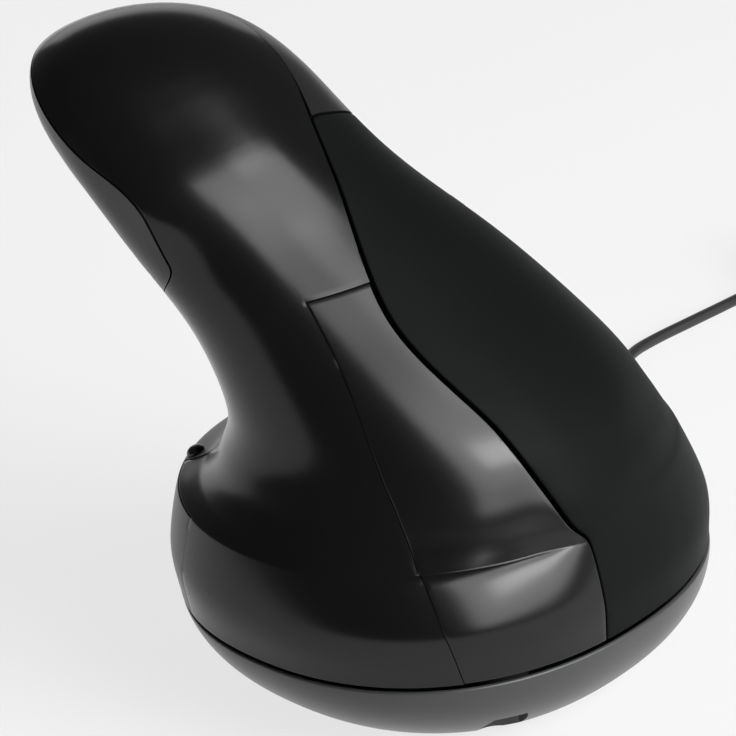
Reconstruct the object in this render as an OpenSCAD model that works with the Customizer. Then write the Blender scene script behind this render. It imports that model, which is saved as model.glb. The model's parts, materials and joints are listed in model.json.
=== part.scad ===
// Vertical ergonomic mouse: a leaning handle on a bowl-shaped base, seen by its user from behind.
// +X is the user's right, +Y points away from the user, +Z is up, and the feet stand on z = 0.

/* [Base] */
// Width of the base at the seam ring
base_w = 83; // [80:0.5:88]
// Length of the base at the seam ring
base_l = 102; // [98:0.5:108]
// Height of the seam ring above the table
ring_z = 18; // [16:0.5:20]
// Height of the open seam between tray and covers
ring_gap = 1; // [0.6:0.1:1.4]
// Height of the wall from the ring to the shoulder
wall_h = 17.5; // [16:0.5:19]
// Thickness of the glide feet
foot_h = 1; // [0.6:0.1:1.4]
// Diameter of each glide foot
foot_d = 12; // [8:0.5:13]

/* [Covers] */
// Wall thickness of the covers and the tray
skin = 2; // [1.6:0.1:2.2]
// Width of the shadow gap behind the grip panel
grip_gap = 1.4; // [0.8:0.1:1.8]
// Width of the fine partings between covers
seam_gap = 0.3; // [0.3:0.05:0.5]
// Clearance round the moving buttons
button_gap = 0.8; // [0.7:0.05:1]

/* [Scroll wheel] */
// Diameter over the tyre
wheel_d = 14.5; // [13.5:0.5:16]
// Width of the wheel
wheel_w = 6; // [5:0.5:6.5]
// How far the wheel stands out of the front
wheel_out = 3; // [2:0.25:4]
// Thickness of the rubber tyre
tyre_t = 1.5; // [1:0.1:2]
// Diameter of the axle
axle_d = 2.5; // [2:0.1:3]
// Travel of the wheel when it is pressed
wheel_press = 0.5; // [0.3:0.1:0.6]

/* [Buttons] */
// Travel of the main buttons at their free edge
main_press = 0.5; // [0.3:0.05:0.55]
// Diameter of the hinge pins of the main buttons
pin_d = 2; // [1.6:0.1:2.4]
// Travel of the thumb buttons
thumb_press = 0.6; // [0.4:0.1:0.7]
// Diameter of the speed button under the base
speed_d = 7; // [5:0.5:8]
// Travel of the speed button
speed_press = 0.5; // [0.3:0.1:0.6]

/* [Electronics] */
// Thickness of the circuit boards
board_t = 1.6; // [1.2:0.1:1.8]
// Width of the main board
board_w = 42; // [36:1:43]
// Length of the main board
board_l = 60; // [54:1:62]

/* [Fasteners] */
// Diameter of the case screw shanks
screw_d = 2.5; // [2.2:0.1:3]
// Diameter of the wells that hold the case screw heads
well_d = 8; // [7:0.5:8.5]

/* [Cable] */
// Diameter of the cable
cord_d = 2.4; // [2.2:0.1:2.6]
// Turns in the coil of spare cable
coil_turns = 14; // [10:2:16]

/* [Hidden] */
$fn = 48;

// Small helpers
function unit(v) = v / norm(v);
function mix(a, b, k) = a + (b - a) * k;
function smooth(x) = let (c = max(0, min(1, x))) c * c * (3 - 2 * c);
function signed_pow(c, e) = sign(c) * pow(abs(c), e);
function xyz(row) = [row[0], row[1], row[2]];
function sum(list, i = 0) = i < len(list) ? list[i] + sum(list, i + 1) : 0;
// Smooth curve through rows of numbers, s counted in rows; an ease under 1 makes row `firm` bend harder
function slope_at(rows, i) =
    i == 0 ? rows[1] - rows[0] :
    i == len(rows) - 1 ? rows[i] - rows[i - 1] :
    (rows[i + 1] - rows[i - 1]) / 2;
function through(rows, s, firm = -1, ease = 1) =
    let (
        i = min(len(rows) - 2, max(0, floor(s))),
        k = s - i,
        leave = slope_at(rows, i) * (i == firm ? ease : 1),
        arrive = slope_at(rows, i + 1) * (i + 1 == firm ? ease : 1)
    )
    (1 - smooth(k)) * rows[i] + smooth(k) * rows[i + 1]
        + k * (1 - k) * (1 - k) * leave - k * k * (1 - k) * arrive;

// The handle is a stack of ovals, each in its own tilted plane.
// Row: centre x, y, z, reach left, right, rear, front, squareness, tilt to the left
half_w = base_w / 2;
half_l = base_l / 2;
shoulder_z = ring_z + wall_h;
ovals = [
    [-0.5, 2, ring_z, half_w, half_w, half_l, half_l, 2.2, 0],
    [-1, 1.5, mix(ring_z, shoulder_z, 0.46), half_w + 1, half_w, half_l + 0.5, half_l, 2.2, 0],
    [-2.5, 0, shoulder_z, half_w - 0.5, half_w - 1.5, half_l - 3.5, half_l - 2, 2.1, 1],
    [-3, -1.5, shoulder_z + 3.5, half_w - 8, half_w - 2, half_l - 7, half_l - 2.5, 2.05, 1],
    [-2.5, -2.5, shoulder_z + 9, 31, 36.5, 40.5, 45.5, 2, 2],
    [-4, -3.5, shoulder_z + 18, 28, 31.5, 37, 40, 2, 4],
    [-14, -8, shoulder_z + 33, 22, 22.5, 33, 33.5, 2, 12],
    [-27, -15.5, shoulder_z + 48, 16.5, 17, 29.5, 27.5, 2, 24],
    [-40, -21, shoulder_z + 62.5, 14, 15.5, 27, 25.5, 2, 37]
];
shoulder_row = 2;
shoulder_ease = 0.3;
top_row = len(ovals) - 1;
head = ovals[top_row];
head_trend = head - ovals[top_row - 1];
head_tip = [-62.5, -29, shoulder_z + 73];
dome_h = 20;
dome_round = 0.85;
dome_rows = dome_h / norm(xyz(head_trend));
tip_shift = head_tip - xyz(head) - xyz(head_trend) * dome_rows;
tip_tilt = head[8] + head_trend[8] * dome_rows;
tip_normal = [-sin(tip_tilt), 0, cos(tip_tilt)];

// Rows beyond the last oval carry on its trend and shrink to the tip of the head
function dome_row(a) =
    let (
        k = pow(cos(a), dome_round),
        row = head + head_trend * dome_rows * pow(sin(a), dome_round),
        c = xyz(row) + tip_shift * (1 - k)
    )
    [c[0], c[1], c[2], row[3] * k, row[4] * k, row[5] * k, row[6] * k, row[7], row[8]];
function row_at(s) =
    s <= top_row ? through(ovals, s, shoulder_row, shoulder_ease) : dome_row(90 * (s - top_row));
function oval_point(row, t, share = 1) =
    let (
        e = 2 / row[7],
        x = share * (cos(t) > 0 ? row[4] : row[3]) * signed_pow(cos(t), e),
        y = share * (sin(t) > 0 ? row[6] : row[5]) * signed_pow(sin(t), e)
    )
    [row[0] + x * cos(row[8]), row[1] + y, row[2] + x * sin(row[8])];
// Share by which the skin stands out of its ovals
crest_share = 0.045;
fold_share = 0.06;
dip_share = 0.053;
function turn_from(t, t0) = (t - t0 + 540) % 360 - 180;
// A rounded crest edges the back of the head, along the parting on its left
crest_round = 5;
function crest(s, t) =
    let (d = turn_from(t, left_t(s)))
    smooth((s - 6.7) / 0.5) * exp((crest_round - norm([d, crest_round])) / 14);
// A soft fold across the back of the head parts its upper face from the band below
function fold(s, a) = exp(-pow((s - 7.35) / 0.42, 2)) * smooth((a + 38) / 25) * (1 - smooth((a - 35) / 30));
// A valley where the handle meets the round shoulder on the right
function dip(s, a) =
    pow(max(0, min(1, (s - 1.1) / 0.9)), 1.6) * (1 - smooth((s - 2.6) / 4))
        * smooth((a + 30) / 35) * (1 - smooth((a - 28) / 16));
function swell(s, t) =
    let (a = turn_from(t, 310))
    1 + crest_share * crest(s, t) + fold_share * fold(s, a) - dip_share * dip(s, a);
// Point of the outer skin: s counts ovals from the ring, t is the angle round from the right
function skin_point(s, t) = oval_point(row_at(s), t, swell(s, t));
function along_s(s, t) = let (q = min(s, top_row + 0.96)) skin_point(q + 0.01, t) - skin_point(q - 0.01, t);
function along_t(s, t) = let (q = min(s, top_row + 0.97)) skin_point(q, t + 0.5) - skin_point(q, t - 0.5);
function skin_normal(s, t) = s > top_row + 0.99 ? tip_normal : unit(cross(along_t(s, t), along_s(s, t)));
function depth_point(s, t, depth) = skin_point(s, t) - depth * skin_normal(s, t);
// A gap in millimetres as an angle, or as a share of a row
function gap_t(s, t, gap) = gap / norm(along_t(s, t));
function gap_s(s, t, gap) = 0.02 * gap / norm(along_s(s, t));
// Frame on the skin: x to the left round the front, y up the slope, z outwards
function skin_frame(s, t) =
    let (
        o = skin_point(s, t),
        z = skin_normal(s, t),
        x = unit(cross(along_s(s, t), z)),
        y = cross(z, x)
    )
    [[x[0], y[0], z[0], o[0]], [x[1], y[1], z[1], o[1]], [x[2], y[2], z[2], o[2]], [0, 0, 0, 1]];
function place(m, p) = [for (r = [0:2]) m[r][0] * p[0] + m[r][1] * p[1] + m[r][2] * p[2] + m[r][3]];
function height_in(m, p) = sum([for (r = [0:2]) m[r][2] * (p[r] - m[r][3])]);

// Map of the skin: bands of rows and columns, and the cover that owns each cell
ledge_s = 2.12;
lower_s = [4.95, 5.85];
thumb_s = [5.35, 5.75];
slot_mid = 6.18;
seam_s = 6.28;
upper_s = [6.52, 7.35];
grip_top_s = 7.5;
cap_s = 8.9;
front_t = 100;
grip_front_t = 68;
thumb_t = [150, 171, 192];
ledge_t = 30;
// Room left before and behind the wheel in its slot, and beside it
slot_room = 3.1;
slot_side = 2.2;
slot_half = gap_s(slot_mid, front_t, wheel_w / 2 + slot_side);
slot_s = [slot_mid - slot_half, slot_mid + slot_half];
main_half = gap_t(slot_mid, front_t, wheel_d / 2 + slot_room);
main_t = [front_t - main_half, front_t + main_half];
function half_s(s, t, gap) = gap_s(s, t, gap) / 2;
ledge_cut = half_s(ledge_s, 225, seam_gap);
lower_cut = half_s(lower_s[1], front_t, button_gap);
thumb_cut = half_s(thumb_s[1], thumb_t[1], button_gap);
seam_cut = half_s(seam_s, 330, seam_gap);
upper_cut = half_s(upper_s[0], front_t, button_gap);
lip_cut = half_s(grip_top_s, 30, 2 * seam_gap);
// Edges of the row bands, and the rows in each
row_edges = [
    0, ledge_s - ledge_cut, ledge_s + ledge_cut, lower_s[0] - lower_cut, lower_s[0] + lower_cut,
    thumb_s[0] - thumb_cut, thumb_s[0] + thumb_cut, thumb_s[1] - thumb_cut, thumb_s[1] + thumb_cut,
    lower_s[1] - lower_cut, lower_s[1] + lower_cut, slot_s[0], seam_s - seam_cut, seam_s + seam_cut,
    slot_s[1], upper_s[0] - upper_cut, upper_s[0] + upper_cut, upper_s[1] - upper_cut,
    upper_s[1] + upper_cut, grip_top_s - lip_cut, grip_top_s + lip_cut, cap_s, top_row + 1
];
row_counts = [9, 1, 9, 1, 1, 1, 2, 1, 1, 1, 1, 2, 1, 1, 1, 1, 3, 1, 1, 1, 7, 1];
// Named row bands
ledge_row = 1;
lower_first = 4;
thumb_row = 6;
lower_last = 8;
slot_first = 11;
seam_row = 12;
slot_last = 13;
upper_row = 16;
lip_row = 19;
cap_row = 21;

// Lines that run up the skin
grip_turn = [[-8], [-8], [-8.5], [-11.5], [-15.5], [-21], [-25.5], [0], [30], [60]];
function grip_t(s) = through(grip_turn, s)[0];
function grip_gap_at(s) =
    seam_gap + (grip_gap - seam_gap) * smooth((s - 1.5) / 1.5) * (1 - smooth((s - 7) / 0.5));
function left_t(s) = 215 + 55 * smooth((s - 6.2) / 0.6) + 18 * exp(-pow((s - 7.35) / 0.52, 2));
parting_turn = [[318], [315.5], [310.5], [308.5], [305], [302], [311.5], [323], [328], [330]];
function parting_t(s) = through(parting_turn, s)[0];
widest_half_gap = 2.2;
function spread(s, t, gap) = let (g = min(widest_half_gap, gap_t(s, t, gap) / 2)) [t - g, t + g];
function column_edges(s) =
    let (
        grip = spread(s, grip_t(s), grip_gap_at(s)),
        front = spread(s, grip_front_t, seam_gap),
        main_0 = spread(s, main_t[0], button_gap),
        main_1 = spread(s, main_t[1], button_gap),
        thumbs = [for (t = thumb_t) spread(s, t, button_gap)],
        left = spread(s, left_t(s), seam_gap),
        ledge = spread(s, left_t(s) + ledge_t, seam_gap),
        parting = spread(s, parting_t(s), seam_gap)
    )
    [
        grip[1], front[0], front[1], main_0[0], main_0[1], main_1[0], main_1[1], thumbs[0][0], thumbs[0][1],
        thumbs[1][0], thumbs[1][1], thumbs[2][0], thumbs[2][1], left[0], left[1], ledge[0], ledge[1],
        parting[0], parting[1], grip[0] + 360, grip[1] + 360
    ];
column_counts = [8, 1, 1, 1, 5, 1, 2, 1, 2, 1, 2, 1, 3, 1, 3, 1, 7, 1, 4, 1];
// Named column bands
grip_band = 0;
grip_edge = 1;
main_first = 3;
main_band = 4;
main_last = 5;
thumb_first = 7;
thumb_a = 8;
thumb_b = 10;
thumb_last = 11;
left_edge = 13;
ledge_band = 14;
ledge_edge = 15;
back_band = 16;
parting_edge = 17;
grip_slit = 19;

// Covers, numbered
none = 0;
front = 1;
back = 2;
side = 3;
grip = 4;
upper = 5;
lower = 6;
thumb_f = 7;
thumb_r = 8;
function front_owner(r, c) =
    let (
        in_main = c >= main_first && c <= main_last,
        in_thumb = c >= thumb_first && c <= thumb_last
    )
    in_main && r >= lower_first - 1 && r <= lower_last + 1 ?
        (c == main_band && r >= lower_first && r <= lower_last ? lower : none) :
    c == main_band && r >= slot_first && r <= slot_last ? none :
    in_main && r >= upper_row - 1 && r <= upper_row + 1 ?
        (c == main_band && r == upper_row ? upper : none) :
    in_thumb && r >= thumb_row - 1 && r <= thumb_row + 1 ?
        (r != thumb_row ? none : c == thumb_a ? thumb_f : c == thumb_b ? thumb_r : none) :
    front;
function owner(r, c) =
    r == cap_row ? front :
    c == grip_slit ? none :
    c == left_edge ? (r < ledge_row ? front : none) :
    c == ledge_band ? (r < ledge_row ? front : r == ledge_row ? none : back) :
    c == ledge_edge ? (r <= ledge_row ? none : back) :
    c == grip_band ? (r < lip_row ? grip : r == lip_row ? none : front) :
    c == grip_edge ? (r <= lip_row ? none : front) :
    c == back_band ? back :
    c >= parting_edge ? (r > seam_row ? back : r == seam_row || c == parting_edge ? none : side) :
    front_owner(r, c);

// The ovals lean, so the row lines are shifted across the front to cross the buttons squarely
level_across = [[grip_front_t, 0], [main_t[0], 0.1], [front_t, 0], [main_t[1], -0.26], [thumb_t[0], 0]];
level_along = [[4, 0], [4.9, 1], [6.4, 1], [7.35, 0.5], [8.3, 0]];
// The lip over the grip panel drops towards the front
lip_across = [[20, 0], [66, -0.12], [72, 0]];
lip_along = [[7, 0], [7.4, 1], [7.7, 1], [8.2, 0]];
function level(s, t) =
    s + lookup(t, level_across) * lookup(s, level_along) + lookup(t, lip_across) * lookup(s, lip_along);

// Cells of the map as lists: each row or column of cells knows its band
row_bands = [for (b = [0:len(row_counts) - 1]) for (k = [1:row_counts[b]]) b];
row_lines = concat(
    [for (b = [0:len(row_counts) - 1]) for (k = [0:row_counts[b] - 1])
        mix(row_edges[b], row_edges[b + 1], k / row_counts[b])],
    [top_row + 1]
);
column_bands = [for (b = [0:len(column_counts) - 1]) for (k = [1:column_counts[b]]) b];
function column_lines(s) =
    let (e = column_edges(min(s, top_row + 0.95)))
    [for (b = [0:len(column_counts) - 1]) for (k = [0:column_counts[b] - 1])
        mix(e[b], e[b + 1], k / column_counts[b])];
rows_n = len(row_bands);
columns_n = len(column_bands);
line_angles = [for (s = row_lines) column_lines(s)];
outer_points = [for (i = [0:rows_n]) for (t = line_angles[i]) depth_point(level(row_lines[i], t), t, 0)];
inner_points = [for (i = [0:rows_n]) for (t = line_angles[i]) depth_point(level(row_lines[i], t), t, skin)];
layer_n = (rows_n + 1) * columns_n;
function owner_at(i, j) =
    i < 0 || i >= rows_n ? none : owner(row_bands[i], column_bands[(j + columns_n) % columns_n]);
// Number of a point; the last line is the tip, one point for all columns
function point_id(i, j) = i * columns_n + (i == rows_n ? 0 : j % columns_n);
function triangles(q) = [
    for (f = [[q[0], q[1], q[2]], [q[0], q[2], q[3]]])
        if (f[0] != f[1] && f[1] != f[2] && f[2] != f[0]) f
];
function cell_faces(i, j, id) =
    let (
        a = point_id(i, j),
        b = point_id(i, j + 1),
        c = point_id(i + 1, j + 1),
        d = point_id(i + 1, j),
        n = layer_n
    )
    concat(
        triangles([a, d, c, b]),
        triangles([a + n, b + n, c + n, d + n]),
        owner_at(i - 1, j) == id ? [] : triangles([a, b, b + n, a + n]),
        owner_at(i, j + 1) == id ? [] : triangles([b, c, c + n, b + n]),
        owner_at(i + 1, j) == id || i + 1 == rows_n ? [] : triangles([c, d, d + n, c + n]),
        owner_at(i, j - 1) == id ? [] : triangles([d, a, a + n, d + n])
    );
// One cover: the cells that it owns, with the wall thickness and its edges
module cover(id) {
    faces = [
        for (i = [0:rows_n - 1]) for (j = [0:columns_n - 1])
            if (owner_at(i, j) == id) each cell_faces(i, j, id)
    ];
    polyhedron(concat(outer_points, inner_points), faces);
}
// A block that follows the skin between two depths
module rib(s, t, depth) {
    points = [
        for (d = depth) for (q = [[0, 0], [0, 1], [1, 1], [1, 0]])
            depth_point(level(s[q[0]], t[q[1]]), t[q[1]], d)
    ];
    quads = [[0, 3, 2, 1], [4, 5, 6, 7], [0, 1, 5, 4], [1, 2, 6, 5], [2, 3, 7, 6], [3, 0, 4, 7]];
    polyhedron(points, [for (q = quads) each triangles(q)]);
}

// Front mechanism, in the frame of the wheel slot
wheel_frame = skin_frame(slot_mid, front_t);
module at_wheel() multmatrix(wheel_frame) children();
module box(low_corner, high_corner) translate(low_corner) cube(high_corner - low_corner);
module rod_y(d, y0, y1) translate([0, y0, 0]) rotate([-90, 0, 0]) cylinder(d = d, h = y1 - y0);
fit = 0.05;
touch_gap = 0.1;
wheel_z = wheel_out - wheel_d / 2;
cheek_t = 1;
cheek_half = 3;
cheek_y = wheel_w / 2 + 0.3;
cheek_top = wheel_z + axle_d / 2 + 0.5;
carriage_floor_t = 1.5;
carriage_floor_z = wheel_z - wheel_d / 2 - 0.5 - carriage_floor_t;
carriage_half = 5.5;
press_switch_h = 3.9;
press_gap = wheel_press + touch_gap;
board_z = carriage_floor_z - press_gap - press_switch_h;
mast_z = board_z - board_t;
mast_t = 2.5;
hinge_x = 4;
hinge_z = -8.5;
barrel_r = pin_d / 2 + 1.2;
barrel_l = 12;
barrel_y = [17.5, -17.5];
ear_t = 2;
ear_gap = 0.3;
ear_y0 = barrel_l / 2 + ear_gap;
main_switch = [12.8, 5.8, 7];
main_switch_x = -3.5;
main_knob = 0.8;
mast_x = [-11, 6.5];
mast_y = [-46, 26.5];
board_x = [-10.5, 5];
board_y = [-28, 26];
guide_x = carriage_half + touch_gap;
guide_t = 2.5;
guide_y = 4;
encoder_t = 2.8;
encoder_half = 3.5;

// Thumb side, in the frame between the two thumb buttons
thumb_mid = (thumb_s[0] + thumb_s[1]) / 2;
thumb_frame = skin_frame(thumb_mid, thumb_t[1]);
module at_thumb() multmatrix(thumb_frame) children();
thumb_stem = 3.6;
thumb_gap = thumb_press + 0.6;
thumb_switch = [5, 5, 2.5];
thumb_switch_z = -thumb_stem - thumb_gap - thumb_switch[2];
thumb_step = 6.4;
thumb_board_x = 13;
thumb_board_y = 5;
bracket_t = 2;
bracket_reach = 52;

// Base and tray
tray_z = foot_h;
tray_depth = 24;
tray_floor = tray_z + skin;
tray_drift = [3, 2];
rim_z = ring_z - ring_gap;
plate_z = ring_z + 0.5;
plate_t = 2;
plate_top = plate_z + plate_t;
plate_inset = skin + 0.3;
post_xy = [[28, -20], [-28, -20], [28, 24], [-28, 24]];
boss_d = well_d + 3;
// The wells are oblong: they reach outwards to open on the side of the bowl
well_reach = 3.7;
seat_z = tray_z + 7;
post_d = screw_d + 4.5;
post_h = 8;
// Size of the bowl's oval at a height, as a share of the ring's oval
function bowl_share(z) = sqrt(1 - pow((ring_z - z) / tray_depth, 2));
function bowl_row(z, inset) =
    let (k = bowl_share(z), drop = (ring_z - z) / ring_z)
    [ovals[0][0] + tray_drift[0] * drop, ovals[0][1] + tray_drift[1] * drop, z,
        half_w * k - inset, half_w * k - inset, half_l * k - inset, half_l * k - inset, ovals[0][7], 0];
bowl_sides = 40;
function bowl_ring(z, inset) =
    [for (j = [0:bowl_sides - 1]) oval_point(bowl_row(z, inset), j * 360 / bowl_sides)];
function bowl_heights(z0, n) = [for (k = [0:n]) mix(z0, rim_z, pow(k / n, 1.5))];
// Closed stack of rings with flat ends
module bowl_solid(heights, inset, lift) {
    n = bowl_sides;
    m = len(heights) - 1;
    points = [for (k = [0:m]) each bowl_ring(heights[k], inset)];
    lifted = [for (p = points) p[2] > rim_z - 0.001 ? p + [0, 0, lift] : p];
    sides = [
        for (k = [0:m - 1]) for (j = [0:n - 1])
            each triangles([k * n + j, (k + 1) * n + j, (k + 1) * n + (j + 1) % n, k * n + (j + 1) % n])
    ];
    polyhedron(lifted, concat(sides, [[for (j = [0:n - 1]) j], [for (j = [n - 1:-1:0]) m * n + j]]));
}
bowl_rows = 7;

// Main board and what sits on it
board_base = tray_z + 5;
board_top = board_base + board_t;
standoff_xy = [for (x = [-1, 1]) for (y = [-0.5, 0.9]) [x * (board_w / 2 - 4), y * (board_l / 2 - 4)]];
standoff_d = 5;
board_screw_d = 1.9;
sensor_xy = [0, -6];
sensor = [10, 12, 3.6];
lens_d = 12;
aperture_d = 8;
glide_ring_d = [9, 15];
foot_mid = [2.5, 4];
foot_step = [14, 20];
speed_xy = [0, -22];
speed_flange_d = speed_d + 2.6;
speed_flange_t = 0.7;
speed_gap = 0.3;
speed_recess = 0.4;

// Cable and gland
cable_x = -8;
cable_z = 10;
gland_d = 6;
gland_in_y = half_l - 10;
gland_neck_y = half_l + 2;
gland_out_y = 65;
gland_collar = 2;
gland_tip_d = cord_d + 1;
connector = [8, 6, 6];
connector_y = 35;

// Free stretch of the cable, from the gland to the coil
coil_lift = 0.9;
layer_gap = 0.5;
layer_h = cord_d + layer_gap;
turn_pitch = cord_d + layer_gap;
layers = 4;
layer_turns = coil_turns / layers;
coil_r = 14.2;
coil_out = coil_r + layer_turns * turn_pitch / 2;
coil_mid = [-43 + coil_out, 188];
coil_z = coil_lift + cord_d / 2;
rest_z = cord_d / 2;
coil_start = [coil_mid[0] - coil_out, coil_mid[1], coil_z];
lead_end = coil_start - [0, cord_d, 0];
lead_route = [
    [cable_x, gland_out_y, cable_z], [-8, 70, 9.9], [-9, 76, 9], [-12.5, 84, 6.4], [-19, 92.5, 3.6],
    [-27.5, 100, 1.9], [-36, 107, rest_z + 0.1], [-42, 114, rest_z], [-44.6, 121, rest_z],
    [-45, 130, rest_z], [-44.4, 142, rest_z], [-43.7, 155, rest_z], [-43.1, 168, rest_z + 0.1],
    [-43, 178, coil_z - 0.3], lead_end
];
lead_rings = 40;

// Tube along a list of points; its first and last faces are square to the given directions
function tube_ring(p, dir, d, sides) =
    let (
        z = unit(dir),
        x = unit(cross(abs(z[2]) > 0.9 ? [1, 0, 0] : [0, 0, 1], z)),
        y = cross(z, x)
    )
    [for (k = [0:sides - 1]) let (a = 360 * (k + 0.5) / sides) p + d / 2 * (cos(a) * x + sin(a) * y)];
function headings(points, first, last) =
    let (m = len(points) - 1)
    [for (i = [0:m]) i == 0 ? first : i == m ? last : points[i + 1] - points[i - 1]];
module tube(points, d, sides, first, last) {
    dirs = headings(points, first, last);
    n = sides;
    m = len(points) - 1;
    rings = [for (i = [0:m]) each tube_ring(points[i], dirs[i], d, sides)];
    walls = [
        for (i = [0:m - 1]) for (k = [0:n - 1])
            each triangles([i * n + k, (i + 1) * n + k, (i + 1) * n + (k + 1) % n, i * n + (k + 1) % n])
    ];
    polyhedron(rings, concat(walls, [[for (k = [0:n - 1]) k], [for (k = [n - 1:-1:0]) m * n + k]]));
}
lead_points = [for (k = [0:lead_rings]) through(lead_route, k / lead_rings * (len(lead_route) - 1))];

// Coil: spirals in and out, and climbs a layer in the half turn where the spiral reverses
loop_rings = 24;
tail_turns = 0.36;
tail_out = 1.25 * turn_pitch;
plug_z = 4;
function coil_radius(u) =
    let (k = floor(u / layer_turns), w = u / layer_turns - k)
    coil_out - turn_pitch * layer_turns * (k % 2 == 0 ? w : 1 - w);
function coil_height(u) =
    coil_z + layer_h * sum([for (k = [1:layers - 1]) smooth((u - k * layer_turns) * 2 + 0.5)]);
function coil_point(u) =
    let (
        v = max(0, u - coil_turns),
        q = min(u, coil_turns),
        r = (v > 0 ? coil_out : coil_radius(q)) + tail_out * smooth(v / 0.14),
        a = 180 - 360 * u,
        z = mix(coil_height(q), plug_z, smooth((v - 0.1) / (tail_turns - 0.1)))
    )
    [coil_mid[0] + r * cos(a), coil_mid[1] + r * sin(a), z];
coil_steps = ceil((coil_turns + tail_turns) * loop_rings);
wound = [for (k = [0:coil_steps]) coil_point(k * (coil_turns + tail_turns) / coil_steps)];
tail_angle = 180 - 360 * (coil_turns + tail_turns);
tail_dir = [sin(tail_angle), -cos(tail_angle), 0];
plug_start = wound[coil_steps] + 2 * cord_d * tail_dir;
coil_points = concat([lead_end], wound, [plug_start]);
// Least clear distance between turns, over pairs at least a third of a turn apart
coil_gap = min([
    for (i = [0:coil_steps - loop_rings / 3]) for (k = [i + loop_rings / 3:coil_steps])
        norm(wound[i] - wound[k])
]) - cord_d;
tie_angle = -60;
tie_t = 0.6;
tie_w = 4;
tie_gap = 0.25;

// Plug on the end of the coil
plug_body = [21, 12.4, 7.6];
plug_shell = [18.5, 12, 4.5];
plug_shell_t = 0.4;
plug_tongue = [17, 10.4, 1.8];
module at_plug() translate(plug_start) rotate([0, 0, atan2(tail_dir[1], tail_dir[0])]) children();

// Upright bar with an oblong section that starts at a screw and reaches outwards
module well_bar(p, d, z0, z1) {
    hull() for (k = [0, well_reach]) let (q = p + k * unit(p))
        translate([q[0], q[1], z0]) cylinder(d = d, h = z1 - z0);
}

// Base tray with its screw wells, standoffs and openings
module base_tray() {
    color("#2b2d2e")
    difference() {
        union() {
            difference() {
                bowl_solid(bowl_heights(tray_z, bowl_rows), 0, 0);
                bowl_solid(bowl_heights(tray_floor, bowl_rows), skin, 1);
            }
            intersection() {
                bowl_solid(bowl_heights(tray_z + skin / 3, bowl_rows), skin / 3, 2);
                for (p = post_xy) {
                    well_bar(p, boss_d, 0, seat_z + skin);
                    translate([p[0], p[1], seat_z]) cylinder(d = boss_d - 1, h = plate_z - seat_z);
                }
            }
            for (p = standoff_xy)
                translate([p[0], p[1], tray_floor - 0.5])
                    cylinder(d = standoff_d, h = board_base - tray_floor + 0.5);
        }
        for (p = post_xy) {
            well_bar(p, well_d, -1, seat_z);
            translate([p[0], p[1], 0]) cylinder(d = screw_d + 2 * fit, h = plate_z + 1);
        }
        for (p = standoff_xy)
            translate([p[0], p[1], tray_floor]) cylinder(d = board_screw_d + 2 * fit, h = board_base);
        translate([sensor_xy[0], sensor_xy[1], 0]) cylinder(d = aperture_d, h = tray_floor + 1);
        translate([speed_xy[0], speed_xy[1], 0]) cylinder(d = speed_d + 2 * speed_gap, h = tray_floor + 1);
        translate([cable_x, 0, cable_z]) rod_y(gland_d + 2 * fit, half_l / 2, base_l);
    }
}

module glide_feet() {
    color("#1a1a1a")
    union() {
        for (x = [-1, 1]) for (y = [-1, 1])
            translate([foot_mid[0] + foot_step[0] * x, foot_mid[1] + foot_step[1] * y, 0])
                cylinder(d = foot_d, h = foot_h);
        translate([sensor_xy[0], sensor_xy[1], 0]) difference() {
            cylinder(d = glide_ring_d[1], h = foot_h);
            translate([0, 0, -1]) cylinder(d = glide_ring_d[0], h = foot_h + 2);
        }
    }
}

module sensor_lens() {
    color("#b9c4c9")
    translate([sensor_xy[0], sensor_xy[1], tray_floor]) cylinder(d = lens_d, h = board_base - tray_floor);
}

module main_board() {
    color("#1f5a36")
    difference() {
        translate([-board_w / 2, -board_l / 2, board_base]) cube([board_w, board_l, board_t]);
        for (p = standoff_xy)
            translate([p[0], p[1], 0]) cylinder(d = board_screw_d + 2 * fit, h = board_top + 1);
        translate([sensor_xy[0], sensor_xy[1], 0]) cylinder(d = aperture_d, h = board_top + 1);
    }
}

module sensor_chip() {
    color("#17181a")
    translate([sensor_xy[0] - sensor[0] / 2, sensor_xy[1] - sensor[1] / 2, board_top]) cube(sensor);
}

module board_components() {
    color("#2a2b30") {
        translate([6, -26, board_top]) cube([8, 8, 1.2]);
        translate([-17, 10, board_top]) cube([6, 5, 1.4]);
        translate([-10, -19, board_top]) cylinder(d = 5, h = 7);
        translate([12, 14, board_top]) cylinder(d = 4, h = 6);
        translate([9, 2, board_top]) cube([7, 4.5, 4]);
    }
}

module cable_connector() {
    color("#e4e0d2")
    translate([cable_x - connector[0] / 2, connector_y - connector[1] - 8, board_top]) cube(connector);
}

module cable_tail() {
    color("#202122")
    translate([cable_x, 0, cable_z]) rod_y(cord_d, connector_y - 8, gland_in_y);
}

module ballast_plate() {
    color("#8d9196")
    translate([-2, -34, plate_top]) cube([25, 32, 4]);
}

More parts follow.
